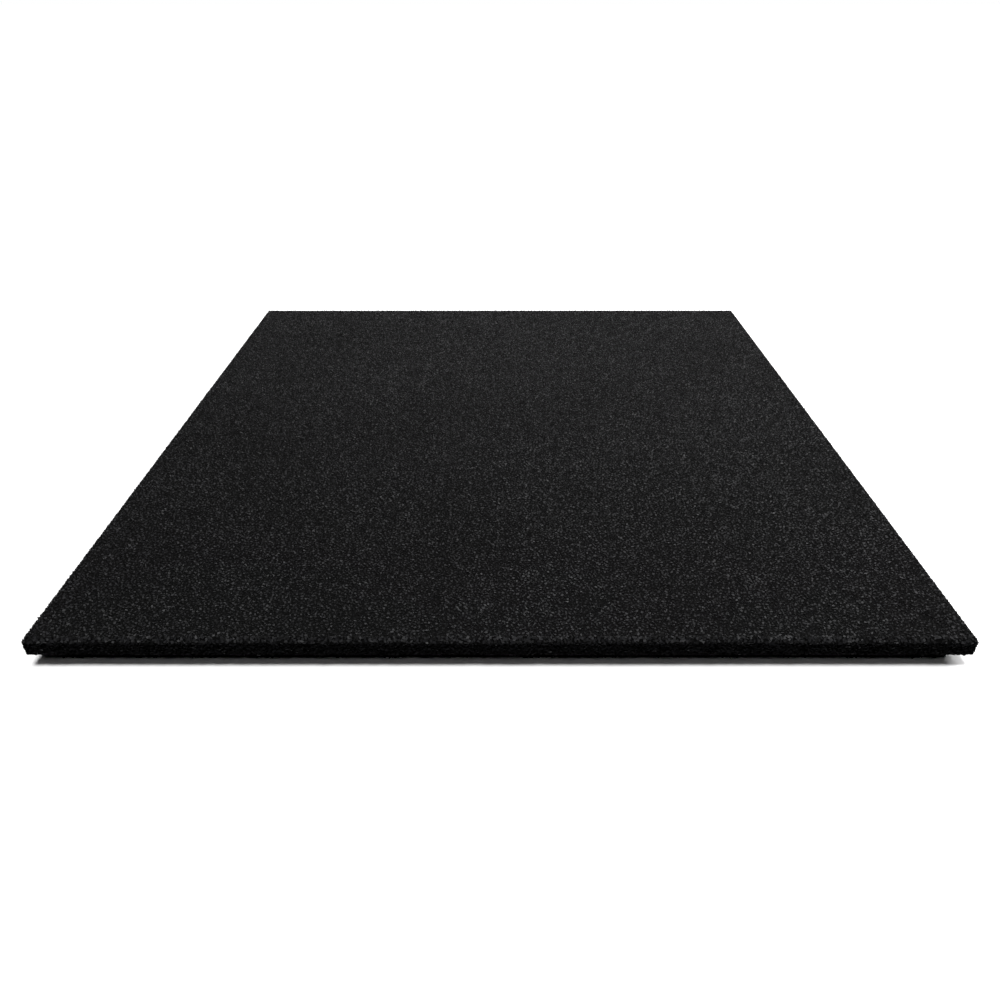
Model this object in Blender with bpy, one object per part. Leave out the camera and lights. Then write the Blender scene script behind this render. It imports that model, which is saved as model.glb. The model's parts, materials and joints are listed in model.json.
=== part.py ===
"""Black rubber safety tile: a square deck with bevelled top edges, moulded in one with a grid of drafted feet."""

import bmesh
import bpy

# Driving dimensions, in metres
TILE_SIDE = 1.000
TILE_HEIGHT = 0.040
DECK_THICKNESS = 0.022
TOP_BEVEL = 0.005
CORNER_RADIUS = 0.004
CORNER_SEGMENTS = 3

# A row of feet is two modules of seven. The first and last foot of a module are wider than the ones between them,
# the gaps are alike, and half a gap is left along each side of the tile
MODULES_PER_SIDE = 2
FEET_PER_MODULE = 7
END_FOOT_SIDE = 0.053
FOOT_GAP = 0.028
FOOT_DRAFT = 0.0035
FOOT_CORNER_RADIUS = 0.010
FOOT_CORNER_SEGMENTS = 2

# How far a foot reaches up into the deck, so that the two join as one body
FOOT_ROOT = 0.005

# Black rubber granules in a black binder: almost no colour, and dull
RUBBER_COLOUR = (0.020, 0.020, 0.021, 1.0)
RUBBER_ROUGHNESS = 0.8

# Worked out from the driving dimensions
FOOT_HEIGHT = TILE_HEIGHT - DECK_THICKNESS
MODULE_SIDE = TILE_SIDE / MODULES_PER_SIDE
FEET_BETWEEN = FEET_PER_MODULE - 2
FOOT_SIDE = (MODULE_SIDE - FEET_PER_MODULE * FOOT_GAP - 2 * END_FOOT_SIDE) / FEET_BETWEEN
TOLERANCE = 1e-6


def clear_scene():
    for obj in list(bpy.data.objects):
        bpy.data.objects.remove(obj)


def new_collection(name):
    collection = bpy.data.collections.new(name)
    bpy.context.scene.collection.children.link(collection)
    return collection


def rubber_material():
    material = bpy.data.materials.new("black_rubber_granulate")
    material.use_nodes = True
    shader = material.node_tree.nodes["Principled BSDF"]
    shader.inputs["Base Color"].default_value = RUBBER_COLOUR
    shader.inputs["Roughness"].default_value = RUBBER_ROUGHNESS
    shader.inputs["Metallic"].default_value = 0.0
    return material


def box(sides, centre):
    """A box with its sides along the axes, as a bmesh."""
    mesh = bmesh.new()
    bmesh.ops.create_cube(mesh, size=1.0)
    bmesh.ops.scale(mesh, vec=sides, verts=mesh.verts)
    bmesh.ops.translate(mesh, vec=centre, verts=mesh.verts)
    return mesh


def upright_edges(mesh):
    return [e for e in mesh.edges if abs(e.verts[0].co.z - e.verts[1].co.z) > TOLERANCE]


def level_edges(mesh, height):
    return [e for e in mesh.edges if all(abs(v.co.z - height) < TOLERANCE for v in e.verts)]


def round_edges(mesh, edges, radius, segments):
    bmesh.ops.bevel(mesh, geom=edges, offset=radius, segments=segments, profile=0.5, affect="EDGES")


def mesh_from(mesh, name):
    data = bpy.data.meshes.new(name)
    mesh.to_mesh(data)
    mesh.free()
    return data


def object_from(mesh, name, collection):
    obj = bpy.data.objects.new(name, mesh_from(mesh, name))
    collection.objects.link(obj)
    return obj


def make_deck(collection):
    """The square slab that is walked on, with rounded corners and a bevel round its top."""
    deck = box((TILE_SIDE, TILE_SIDE, DECK_THICKNESS), (0, 0, FOOT_HEIGHT + DECK_THICKNESS / 2))
    round_edges(deck, upright_edges(deck), CORNER_RADIUS, CORNER_SEGMENTS)
    round_edges(deck, level_edges(deck, TILE_HEIGHT), TOP_BEVEL, 1)
    return object_from(deck, "safety_tile", collection)


def row_of_feet():
    """The centre and the width of each foot of a row, from one side of the tile to the other."""
    row = []
    start = -TILE_SIDE / 2
    for number in range(MODULES_PER_SIDE * FEET_PER_MODULE):
        ends_module = number % FEET_PER_MODULE in (0, FEET_PER_MODULE - 1)
        width = END_FOOT_SIDE if ends_module else FOOT_SIDE
        row.append((start + (FOOT_GAP + width) / 2, width))
        start += FOOT_GAP + width
    return row


def make_foot(x, width, y, depth):
    """A stud with round corners that widens from the floor up to the deck, as a bmesh."""
    height = FOOT_HEIGHT + FOOT_ROOT
    foot = box((width, depth, height), (0, 0, height / 2))
    round_edges(foot, upright_edges(foot), FOOT_CORNER_RADIUS, FOOT_CORNER_SEGMENTS)
    widening = (1 + 2 * FOOT_DRAFT / width, 1 + 2 * FOOT_DRAFT / depth, 1)
    upper = [v for v in foot.verts if v.co.z > height / 2]
    bmesh.ops.scale(foot, vec=widening, verts=upper)
    bmesh.ops.translate(foot, vec=(x, y, 0), verts=foot.verts)
    return foot


def make_feet(collection):
    """The whole grid of feet, as a helper that the deck is joined with."""
    grid = bmesh.new()
    for x, width in row_of_feet():
        for y, depth in row_of_feet():
            foot = mesh_from(make_foot(x, width, y, depth), "foot")
            grid.from_mesh(foot)
            bpy.data.meshes.remove(foot)
    feet = object_from(grid, "feet", collection)
    feet.hide_render = True
    feet.display_type = "WIRE"
    return feet


def join_feet(deck, feet):
    union = deck.modifiers.new("feet", "BOOLEAN")
    union.operation = "UNION"
    union.object = feet


def main():
    clear_scene()
    parts = new_collection("rubber_safety_tile")
    helpers = new_collection("helpers")
    tile = make_deck(parts)
    join_feet(tile, make_feet(helpers))
    tile.data.materials.append(rubber_material())


main()
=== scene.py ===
"""Black rubber safety tile: granules of shredded rubber pressed with a binder, on a white studio floor."""

import json
import math
import random

import bmesh
import bpy
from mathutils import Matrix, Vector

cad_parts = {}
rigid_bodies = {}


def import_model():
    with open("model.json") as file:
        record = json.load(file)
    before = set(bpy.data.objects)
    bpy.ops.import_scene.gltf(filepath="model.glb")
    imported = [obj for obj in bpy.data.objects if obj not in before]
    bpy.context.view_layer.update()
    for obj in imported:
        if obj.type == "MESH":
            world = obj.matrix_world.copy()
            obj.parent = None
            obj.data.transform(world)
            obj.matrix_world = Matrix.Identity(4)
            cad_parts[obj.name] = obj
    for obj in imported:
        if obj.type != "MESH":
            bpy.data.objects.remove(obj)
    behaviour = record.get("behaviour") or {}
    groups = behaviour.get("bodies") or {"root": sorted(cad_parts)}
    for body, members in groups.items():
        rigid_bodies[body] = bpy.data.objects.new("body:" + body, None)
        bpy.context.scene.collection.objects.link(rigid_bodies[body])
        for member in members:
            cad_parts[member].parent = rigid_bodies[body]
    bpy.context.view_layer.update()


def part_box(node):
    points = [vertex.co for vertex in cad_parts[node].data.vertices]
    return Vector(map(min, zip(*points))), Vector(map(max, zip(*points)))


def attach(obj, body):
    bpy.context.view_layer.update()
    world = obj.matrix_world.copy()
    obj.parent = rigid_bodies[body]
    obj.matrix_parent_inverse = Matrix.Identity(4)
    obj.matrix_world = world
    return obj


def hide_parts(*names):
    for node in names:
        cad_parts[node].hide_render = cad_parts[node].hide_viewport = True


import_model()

MM = 0.001
DEGREES = math.pi / 180
TINY = 1e-5

# How far up or down a face's normal points: more than the first if it lies level, less than the second if
# it stands
LEVEL = 0.9
STANDING = 0.5

# The tile's place and size come from its node in the frame
TILE = "safety_tile"
LOW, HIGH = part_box(TILE)
SIDE = HIGH.x - LOW.x
TOP = HIGH.z

# The tile's own sizes, as moulded. The draft is how far each side of a foot leans out on its way up
DECK_THICKNESS = 22 * MM
TOP_BEVEL = 5 * MM
CORNER_RADIUS = 4 * MM
FOOT_DRAFT = 2.74 * MM
FOOT_CORNER_RADIUS = 10 * MM
CORNER_SEGMENTS = 4
UNDERSIDE = TOP - DECK_THICKNESS

# A row of feet is two modules of seven, whose first and last feet are wider than the ones between them
MODULES_PER_SIDE = 2
FEET_PER_MODULE = 7
END_FOOT_SIDE = 53 * MM
FOOT_GAP = 28 * MM
MODULE_SIDE = SIDE / MODULES_PER_SIDE
FEET_BETWEEN = FEET_PER_MODULE - 2
FOOT_SIDE = (MODULE_SIDE - FEET_PER_MODULE * FOOT_GAP - 2 * END_FOOT_SIDE) / FEET_BETWEEN

# The faces of the outermost feet that show from around the tile have their centres within this of its sides
OUTER_ROW = 48 * MM

# The core is this much smaller than the moulded tile, and the granules on it fill the rest
TOP_SKIN = 1.1 * MM
SIDE_SKIN = 1.0 * MM
FOOT_SKIN = 0.8 * MM

# Granules: their least spacing, how far across they are, how flat and how far they tilt
DECK_CHIPS = (3.4 * MM, (2.6 * MM, 4.2 * MM), 0.8, 30 * DEGREES)
DECK_SHREDS = (2.45 * MM, (1.9 * MM, 3.1 * MM), 0.9, 30 * DEGREES)
RIM_CHIPS = (2.3 * MM, (3.4 * MM, 5.0 * MM), 0.4, 14 * DEGREES)
FOOT_CHIPS = (3.0 * MM, (3.2 * MM, 4.8 * MM), 0.45, 15 * DEGREES)
UNDERSIDE_SHREDS = (4.8 * MM, (4.0 * MM, 6.5 * MM), 0.5, 20 * DEGREES)

# Points tried for each square of the least spacing: more than fit, so that the spacing decides how many stay
CROWDING = 4

# How many shapes of each kind of lump there are, and how far their corners are moved when they are 1 across
LUMP_SHAPES = 12
UNEVENNESS = 0.12

# Size of the grain that is painted on the core, and of the broad clouds in the granules' tone
GRAIN = 3 * MM
CLOUD = 250 * MM

# The studio, in metres: its floor's side, and each softbox by its place, its width and height, and its watts
FLOOR_SIDE = 400
BACK_SOFTBOX = ((0.4, 3.2, 1.9), (3.0, 1.2), 105)
SIDE_SOFTBOX = ((1.6, 0.2, 1.4), (1.0, 0.8), 26)
FRONT_SOFTBOX = ((0, -2.2, 2.45), (3.0, 0.4), 5.5)

# The light overhead: its strength, how wide it looks and how far it leans to the front
OVERHEAD_STRENGTH = 3.6
OVERHEAD_SPREAD = 20 * DEGREES
OVERHEAD_LEAN = 8 * DEGREES

# The camera: its lens and sensor in millimetres, how many degrees it looks down, and how many metres it
# stands before the tile's front and above its top
LENS = 26.9
SENSOR_WIDTH = 36
LOOKING_DOWN = 33.68
CAMERA_BEFORE = 0.5635
CAMERA_ABOVE = 0.55


def linear(hex_colour):
    """An sRGB hex colour as the linear RGBA that shaders take."""
    channels = [int(hex_colour[i : i + 2], 16) / 255 for i in (1, 3, 5)]
    return (*(c / 12.92 if c <= 0.04045 else ((c + 0.055) / 1.055) ** 2.4 for c in channels), 1.0)


def add_node(tree, kind, values=None, links=None, **settings):
    """Adds a node. Settings are its properties, values its inputs, and links the outputs that feed them."""
    node = tree.nodes.new(kind)
    for name, value in settings.items():
        setattr(node, name, value)
    for name, value in (values or {}).items():
        node.inputs[name].default_value = value
    for name, source in (links or {}).items():
        tree.links.new(source, node.inputs[name])
    return node


def new_material(name):
    """An empty material, and its node tree."""
    material = bpy.data.materials.new(name)
    material.use_nodes = True
    material.node_tree.nodes.clear()
    return material, material.node_tree


def finish_material(tree, shader):
    add_node(tree, "ShaderNodeOutputMaterial", links={"Surface": shader.outputs[0]})


def pressed_rubber(name, darkest, lightest, gloss):
    """Crumb rubber (SBR) pressed with a polyurethane binder: dull, with a grain of about 3 mm that the
    binder half fills, and a tone of its own for each grain between the darkest and the lightest."""
    material, tree = new_material(name)
    place = add_node(tree, "ShaderNodeTexCoord").outputs["Object"]
    grains = add_node(
        tree,
        "ShaderNodeTexVoronoi",
        values={"Scale": 1 / GRAIN, "Randomness": 1.0},
        links={"Vector": place},
    )
    tone = add_node(tree, "ShaderNodeValToRGB", links={"Fac": grains.outputs["Color"]})
    tone.color_ramp.elements[0].color = linear(darkest)
    tone.color_ramp.elements[1].color = linear(lightest)
    bump = add_node(
        tree,
        "ShaderNodeBump",
        values={"Strength": 0.7, "Distance": 0.8 * MM},
        links={"Height": grains.outputs["Distance"]},
        invert=True,
    )
    shader = add_node(
        tree,
        "ShaderNodeBsdfPrincipled",
        values={"Roughness": 0.9, "Specular IOR Level": gloss},
        links={"Base Color": tone.outputs["Color"], "Normal": bump.outputs["Normal"]},
    )
    finish_material(tree, shader)
    return material


def cut_granule_rubber():
    """Granules cut from tyre rubber, wetted by the binder: each has a tone of its own, and the freshly cut
    ones are a little lighter and smoother, which makes them glint. Where more binder was left, all of them
    are lighter."""
    material, tree = new_material("cut_tyre_rubber_granules")
    own_tone = add_node(tree, "ShaderNodeAttribute", attribute_name="tone").outputs["Fac"]
    place = add_node(tree, "ShaderNodeTexCoord").outputs["Object"]
    clouds = add_node(
        tree,
        "ShaderNodeTexNoise",
        values={"Scale": 1 / CLOUD, "Detail": 2.0, "Roughness": 0.5},
        links={"Vector": place},
    )
    shift = add_node(
        tree,
        "ShaderNodeMapRange",
        values={"From Min": 0.3, "From Max": 0.7, "To Min": -0.1, "To Max": 0.1},
        links={"Value": clouds.outputs[0]},
    )
    tone = add_node(tree, "ShaderNodeMath", links={0: own_tone, 1: shift.outputs[0]}, operation="ADD")
    colour = add_node(tree, "ShaderNodeValToRGB", links={"Fac": tone.outputs[0]})
    colour.color_ramp.elements[0].color = linear("#030303")
    colour.color_ramp.elements[1].color = linear("#1c1c1e")
    roughness = add_node(
        tree,
        "ShaderNodeMapRange",
        values={"From Min": 0.0, "From Max": 1.0, "To Min": 0.9, "To Max": 0.5},
        links={"Value": tone.outputs[0]},
    )
    shader = add_node(
        tree,
        "ShaderNodeBsdfPrincipled",
        values={"Specular IOR Level": 0.2},
        links={"Base Color": colour.outputs["Color"], "Roughness": roughness.outputs["Result"]},
    )
    finish_material(tree, shader)
    return material


def floor_paint():
    """Dead matt white paint on the studio floor, with no sheen even where it is seen at a slant."""
    material, tree = new_material("matt_white_floor_paint")
    shader = add_node(
        tree,
        "ShaderNodeBsdfPrincipled",
        values={"Base Color": linear("#f9f9f9"), "Roughness": 1.0, "Specular IOR Level": 0.0},
    )
    finish_material(tree, shader)
    return material


def select_only(obj):
    bpy.ops.object.select_all(action="DESELECT")
    obj.select_set(True)
    bpy.context.view_layer.objects.active = obj


def choose(obj, kind, wanted):
    """In edit mode, selects just the verts, edges or faces that wanted picks."""
    bpy.ops.mesh.select_mode(type=kind)
    bpy.ops.mesh.select_all(action="DESELECT")
    mesh = bmesh.from_edit_mesh(obj.data)
    for element in {"VERT": mesh.verts, "EDGE": mesh.edges, "FACE": mesh.faces}[kind]:
        if wanted(element):
            element.select_set(True)
    mesh.select_flush_mode()
    bmesh.update_edit_mesh(obj.data)


def heights(edge):
    return [vert.co.z for vert in edge.verts]


def upright(edge, low, high):
    """Whether an edge climbs from one height to the other."""
    return abs(min(heights(edge)) - low) < TINY and abs(max(heights(edge)) - high) < TINY


def on_rim(vert):
    return max(abs(vert.co.x), abs(vert.co.y)) > SIDE / 2 - TINY


def is_deck(face):
    return face.normal.z > LEVEL and face.calc_center_median().z > UNDERSIDE


def is_rim(face):
    """The tile's sides and the bevel above them."""
    return abs(face.normal.z) < LEVEL and face.calc_center_median().z > UNDERSIDE


def is_outer_foot(face):
    """The outward and sideways sides of the feet in the outer rows, which show from around the tile."""
    centre = face.calc_center_median()
    outer = max(abs(centre.x), abs(centre.y)) > SIDE / 2 - OUTER_ROW
    return outer and abs(face.normal.z) < STANDING and centre.z < UNDERSIDE - TINY


def faces_down(face):
    """The bottoms of the feet and the roofs of the channels between them."""
    return face.normal.z < -LEVEL


def is_underneath(face):
    return face.calc_center_median().z < UNDERSIDE + TINY and not is_outer_foot(face)


def foot_boundaries():
    """Where the share of one foot of a row ends and that of the next one begins."""
    boundaries = []
    reached = -SIDE / 2
    for number in range(MODULES_PER_SIDE * FEET_PER_MODULE - 1):
        ends_module = number % FEET_PER_MODULE in (0, FEET_PER_MODULE - 1)
        reached += FOOT_GAP + (END_FOOT_SIDE if ends_module else FOOT_SIDE)
        boundaries.append(reached)
    return boundaries


def draw_feet(core):
    """Cuts the underside into the feet's shares, sets each in and draws it to the floor with its draft."""
    for boundary in foot_boundaries():
        for across in ((1, 0, 0), (0, 1, 0)):
            choose(core, "FACE", faces_down)
            bpy.ops.mesh.bisect(plane_co=(boundary, boundary, 0), plane_no=across)
    choose(core, "FACE", faces_down)
    bpy.ops.mesh.inset(thickness=FOOT_GAP / 2 + SIDE_SKIN - FOOT_DRAFT, use_individual=True)
    bpy.ops.mesh.inset(thickness=FOOT_DRAFT, depth=UNDERSIDE - FOOT_SKIN, use_individual=True)
    choose(core, "EDGE", lambda edge: upright(edge, FOOT_SKIN, UNDERSIDE))
    foot_rounding = FOOT_CORNER_RADIUS - SIDE_SKIN
    bpy.ops.mesh.bevel(offset=foot_rounding, segments=CORNER_SEGMENTS, affect="EDGES")


def shape_rim(core, core_top):
    """Draws the sides in by a skin, rounds their corners and cuts the bevel round the top."""
    choose(core, "VERT", on_rim)
    shrink = 1 - 2 * SIDE_SKIN / SIDE
    bpy.ops.transform.resize(value=(shrink, shrink, 1), center_override=(0, 0, 0))
    choose(core, "EDGE", lambda edge: upright(edge, UNDERSIDE, core_top))
    bpy.ops.mesh.bevel(offset=CORNER_RADIUS - SIDE_SKIN, segments=CORNER_SEGMENTS, affect="EDGES")
    choose(core, "EDGE", lambda edge: min(heights(edge)) > core_top - TINY)
    core_bevel = TOP_BEVEL - TOP_SKIN + (math.sqrt(2) - 1) * SIDE_SKIN
    bpy.ops.mesh.bevel(offset=core_bevel, segments=1, affect="EDGES")


def model_core():
    """The tile a skin smaller than moulded: a bevelled deck with the feet drawn out of its underside."""
    core_top = TOP - TOP_SKIN
    bpy.ops.mesh.primitive_cube_add(
        size=1,
        location=(0, 0, (UNDERSIDE + core_top) / 2),
        scale=(SIDE, SIDE, core_top - UNDERSIDE),
    )
    core = bpy.context.active_object
    core.name = "tile_core"
    bpy.ops.object.transform_apply(location=True, rotation=True, scale=True)
    bpy.ops.object.mode_set(mode="EDIT")
    draw_feet(core)
    shape_rim(core, core_top)
    bpy.ops.object.mode_set(mode="OBJECT")
    return core


def copied_faces(core, name, wanted):
    """A new object that holds a copy of the core's faces that wanted picks."""
    select_only(core)
    before = set(bpy.data.objects)
    bpy.ops.object.mode_set(mode="EDIT")
    choose(core, "FACE", wanted)
    bpy.ops.mesh.duplicate()
    bpy.ops.mesh.separate(type="SELECTED")
    bpy.ops.object.mode_set(mode="OBJECT")
    (copy,) = set(bpy.data.objects) - before
    copy.name = name
    return copy


def add_chip():
    """A blunt wedge about 1 across, which has eight facets once its corners are moved."""
    bpy.ops.mesh.primitive_cone_add(vertices=3, radius1=0.55, radius2=0.4, depth=0.6)


def add_shred():
    """A sharp splinter about 1 across, with four facets, for the smallest grains."""
    bpy.ops.mesh.primitive_cone_add(vertices=3, radius1=0.5, depth=0.7, location=(0, 0, 0.1))
    bpy.ops.object.transform_apply(location=True)


def model_granules(name, add_lump, seed):
    """A collection of lumps of cut rubber, each squeezed and turned its own way."""
    chance = random.Random(seed)
    collection = bpy.data.collections.new(name)
    for number in range(LUMP_SHAPES):
        bpy.ops.object.select_all(action="DESELECT")
        add_lump()
        lump = bpy.context.active_object
        lump.name = f"{name}_{number}"
        bpy.ops.object.mode_set(mode="EDIT")
        bpy.ops.mesh.select_all(action="SELECT")
        squeeze = chance.randrange(1000)
        bpy.ops.transform.vertex_random(offset=UNEVENNESS, seed=squeeze, wait_for_input=False)
        for axis in "XYZ":
            bpy.ops.transform.rotate(
                value=chance.uniform(0, 2 * math.pi), orient_axis=axis, center_override=(0, 0, 0)
            )
        bpy.ops.object.mode_set(mode="OBJECT")
        for parent in lump.users_collection:
            parent.objects.unlink(lump)
        collection.objects.link(lump)
    return collection


def scatter(tree, surface, spacing, share, seed):
    """Points spread over a surface at their least spacing, and which way each faces. The share says which
    part of the points is taken, of how many parts."""
    spread = add_node(
        tree,
        "GeometryNodeDistributePointsOnFaces",
        values={"Distance Min": spacing, "Density Max": CROWDING / spacing**2, "Seed": seed},
        links={"Mesh": surface},
        distribute_method="POISSON",
    )
    part, parts = share
    draw = add_node(
        tree,
        "FunctionNodeRandomValue",
        values={4: 0, 5: parts - 1, "Seed": seed},
        data_type="INT",
    )
    drawn = add_node(
        tree,
        "FunctionNodeCompare",
        values={3: part},
        links={2: draw.outputs[2]},
        data_type="INT",
        operation="EQUAL",
    )
    points = add_node(
        tree,
        "GeometryNodeSeparateGeometry",
        links={"Geometry": spread.outputs["Points"], "Selection": drawn.outputs[0]},
    )
    return points.outputs["Selection"], spread.outputs["Rotation"]


def place_lumps(tree, points, facing, shapes, grading, seed):
    """A lump on each point, turned, tilted and sized at random, with a tone of its own."""
    _, (least, most), flatness, tilt = grading
    turn = add_node(
        tree,
        "FunctionNodeRandomValue",
        values={0: (-tilt, -tilt, 0), 1: (tilt, tilt, 2 * math.pi), "Seed": seed + 1},
        data_type="FLOAT_VECTOR",
    )
    rotation = add_node(
        tree,
        "FunctionNodeRotateRotation",
        links={"Rotation": facing, "Rotate By": turn.outputs[0]},
        rotation_space="LOCAL",
    )
    scale = add_node(
        tree,
        "FunctionNodeRandomValue",
        values={0: (least, least, least * flatness), 1: (most, most, most * flatness), "Seed": seed + 2},
        data_type="FLOAT_VECTOR",
    )
    shape = add_node(
        tree,
        "GeometryNodeCollectionInfo",
        values={"Collection": shapes, "Separate Children": True, "Reset Children": True},
    )
    placed = add_node(
        tree,
        "GeometryNodeInstanceOnPoints",
        values={"Pick Instance": True},
        links={
            "Points": points,
            "Instance": shape.outputs[0],
            "Rotation": rotation.outputs[0],
            "Scale": scale.outputs[0],
        },
    )
    tone = add_node(tree, "FunctionNodeRandomValue", values={"Seed": seed + 3})
    toned = add_node(
        tree,
        "GeometryNodeStoreNamedAttribute",
        values={"Name": "tone"},
        links={"Geometry": placed.outputs[0], "Value": tone.outputs[1]},
        domain="INSTANCE",
    )
    return add_node(tree, "GeometryNodeRealizeInstances", links={"Geometry": toned.outputs[0]}).outputs[0]


def press_flat(tree, granules, lowest):
    """The mould's plates stop the granules, so no point of one lies outside them, or below the lowest."""
    place = add_node(tree, "GeometryNodeInputPosition").outputs[0]
    for operation, corner in (("MAXIMUM", (LOW.x, LOW.y, lowest)), ("MINIMUM", HIGH)):
        place = add_node(
            tree, "ShaderNodeVectorMath", values={1: corner}, links={0: place}, operation=operation
        ).outputs[0]
    pressed = add_node(
        tree, "GeometryNodeSetPosition", links={"Geometry": granules, "Position": place}
    )
    return pressed.outputs[0]


def granule_nodes(shapes, grading, share, seed, lowest):
    """Geometry nodes that turn a surface into granules. The grading is as named above, the share is as for
    scatter, and lowest is the height that no granule reaches below."""
    tree = bpy.data.node_groups.new("granule_cover", "GeometryNodeTree")
    tree.interface.new_socket("Geometry", in_out="INPUT", socket_type="NodeSocketGeometry")
    tree.interface.new_socket("Geometry", in_out="OUTPUT", socket_type="NodeSocketGeometry")
    surface = add_node(tree, "NodeGroupInput").outputs[0]
    spacing = grading[0]
    points, facing = scatter(tree, surface, spacing, share, seed)
    granules = place_lumps(tree, points, facing, shapes, grading, seed)
    add_node(tree, "NodeGroupOutput", links={0: press_flat(tree, granules, lowest)})
    return tree


def cover(surface, *recipe):
    """Turns a surface into the granules that lie on it."""
    select_only(surface)
    modifier = surface.modifiers.new("granules", "NODES")
    modifier.node_group = granule_nodes(*recipe)
    bpy.ops.object.modifier_apply(modifier=modifier.name)


def dress(piece, material):
    piece.data.materials.clear()
    piece.data.materials.append(material)
    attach(piece, "root")


def paint_underneath(core, material):
    """Gives the faces under the tile a material of their own, in a second slot."""
    select_only(core)
    core.data.materials.append(material)
    core.active_material_index = 1
    bpy.ops.object.mode_set(mode="EDIT")
    choose(core, "FACE", is_underneath)
    bpy.ops.object.material_slot_assign()
    bpy.ops.object.mode_set(mode="OBJECT")


def make_tile():
    """The core and the granules on it. The deck's granules are made in halves, so that no mesh is too big."""
    core = model_core()
    granules = cut_granule_rubber()
    chips = model_granules("chips", add_chip, seed=5)
    shreds = model_granules("shreds", add_shred, seed=6)

    # A layer's name, the faces under it, its lumps and their grading, and its share, seed and lowest height
    layers = (
        ("deck_chips_a", is_deck, chips, DECK_CHIPS, (0, 2), 11, UNDERSIDE),
        ("deck_chips_b", is_deck, chips, DECK_CHIPS, (1, 2), 11, UNDERSIDE),
        ("deck_shreds_a", is_deck, shreds, DECK_SHREDS, (0, 2), 53, UNDERSIDE),
        ("deck_shreds_b", is_deck, shreds, DECK_SHREDS, (1, 2), 53, UNDERSIDE),
        ("rim_chips", is_rim, chips, RIM_CHIPS, (0, 1), 23, UNDERSIDE),
        ("foot_chips", is_outer_foot, chips, FOOT_CHIPS, (0, 1), 37, LOW.z),
        ("underside_shreds", faces_down, shreds, UNDERSIDE_SHREDS, (0, 1), 71, LOW.z),
    )
    for name, wanted, *recipe in layers:
        layer = copied_faces(core, name, wanted)
        cover(layer, *recipe)
        dress(layer, granules)
    # The core shows only between the granules, so its near-black colour (#030303 to #0a0a0a, with little
    # gloss) is painted shade: it stands for the shade deep in the pores, which the shallow pits between the
    # granules don't cast themselves.
    dress(core, pressed_rubber("pressed_crumb_rubber_pits_painted_shade", "#030303", "#0a0a0a", 0.04))
    paint_underneath(core, pressed_rubber("pressed_crumb_rubber_underside", "#060606", "#171718", 0.15))
    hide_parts(TILE)
    for shapes in (chips, shreds):
        for lump in list(shapes.objects):
            bpy.data.objects.remove(lump)
        bpy.data.collections.remove(shapes)


def make_floor():
    """A white floor that runs to the horizon. Its light isn't thrown back on the tile."""
    bpy.ops.object.select_all(action="DESELECT")
    bpy.ops.mesh.primitive_plane_add(size=FLOOR_SIDE, location=(0, 0, 0))
    floor = bpy.context.active_object
    floor.name = "studio_floor"
    floor.data.materials.append(floor_paint())
    floor.visible_diffuse = False
    floor.visible_glossy = False


def add_softbox(name, place, size, power):
    """A softbox that faces the middle of the tile."""
    data = bpy.data.lights.new(name, "AREA")
    data.shape = "RECTANGLE"
    data.size, data.size_y = size
    data.energy = power
    softbox = bpy.data.objects.new(name, data)
    softbox.location = place
    centre = (LOW + HIGH) / 2
    softbox.rotation_euler = (centre - softbox.location).to_track_quat("-Z", "Y").to_euler()
    bpy.context.scene.collection.objects.link(softbox)


def add_overhead_light():
    data = bpy.data.lights.new("overhead_light", "SUN")
    data.energy = OVERHEAD_STRENGTH
    data.angle = OVERHEAD_SPREAD
    light = bpy.data.objects.new("overhead_light", data)
    light.rotation_euler = (OVERHEAD_LEAN, 0, 0)
    bpy.context.scene.collection.objects.link(light)


def add_white_beyond():
    """The white beyond the floor, which is only seen and lights nothing."""
    world = bpy.data.worlds.new("studio")
    bpy.context.scene.world = world
    world.use_nodes = True
    world.node_tree.nodes["Background"].inputs["Color"].default_value = (1, 1, 1, 1)
    world.cycles_visibility.diffuse = False
    world.cycles_visibility.glossy = False


def light_studio():
    add_overhead_light()
    add_softbox("back_softbox", *BACK_SOFTBOX)
    add_softbox("side_softbox", *SIDE_SOFTBOX)
    add_softbox("front_softbox", *FRONT_SOFTBOX)
    add_white_beyond()
    bpy.context.scene.view_settings.view_transform = "Standard"


def add_camera():
    """The photograph's lens and slope, near enough for one tile to fill the frame from side to side."""
    data = bpy.data.cameras.new("camera")
    data.lens = LENS
    data.sensor_width = SENSOR_WIDTH
    camera = bpy.data.objects.new("camera", data)
    camera.location = (0, LOW.y - CAMERA_BEFORE, TOP + CAMERA_ABOVE)
    camera.rotation_euler = ((90 - LOOKING_DOWN) * DEGREES, 0, 0)
    bpy.context.scene.collection.objects.link(camera)
    bpy.context.scene.camera = camera


make_tile()
make_floor()
light_studio()
add_camera()
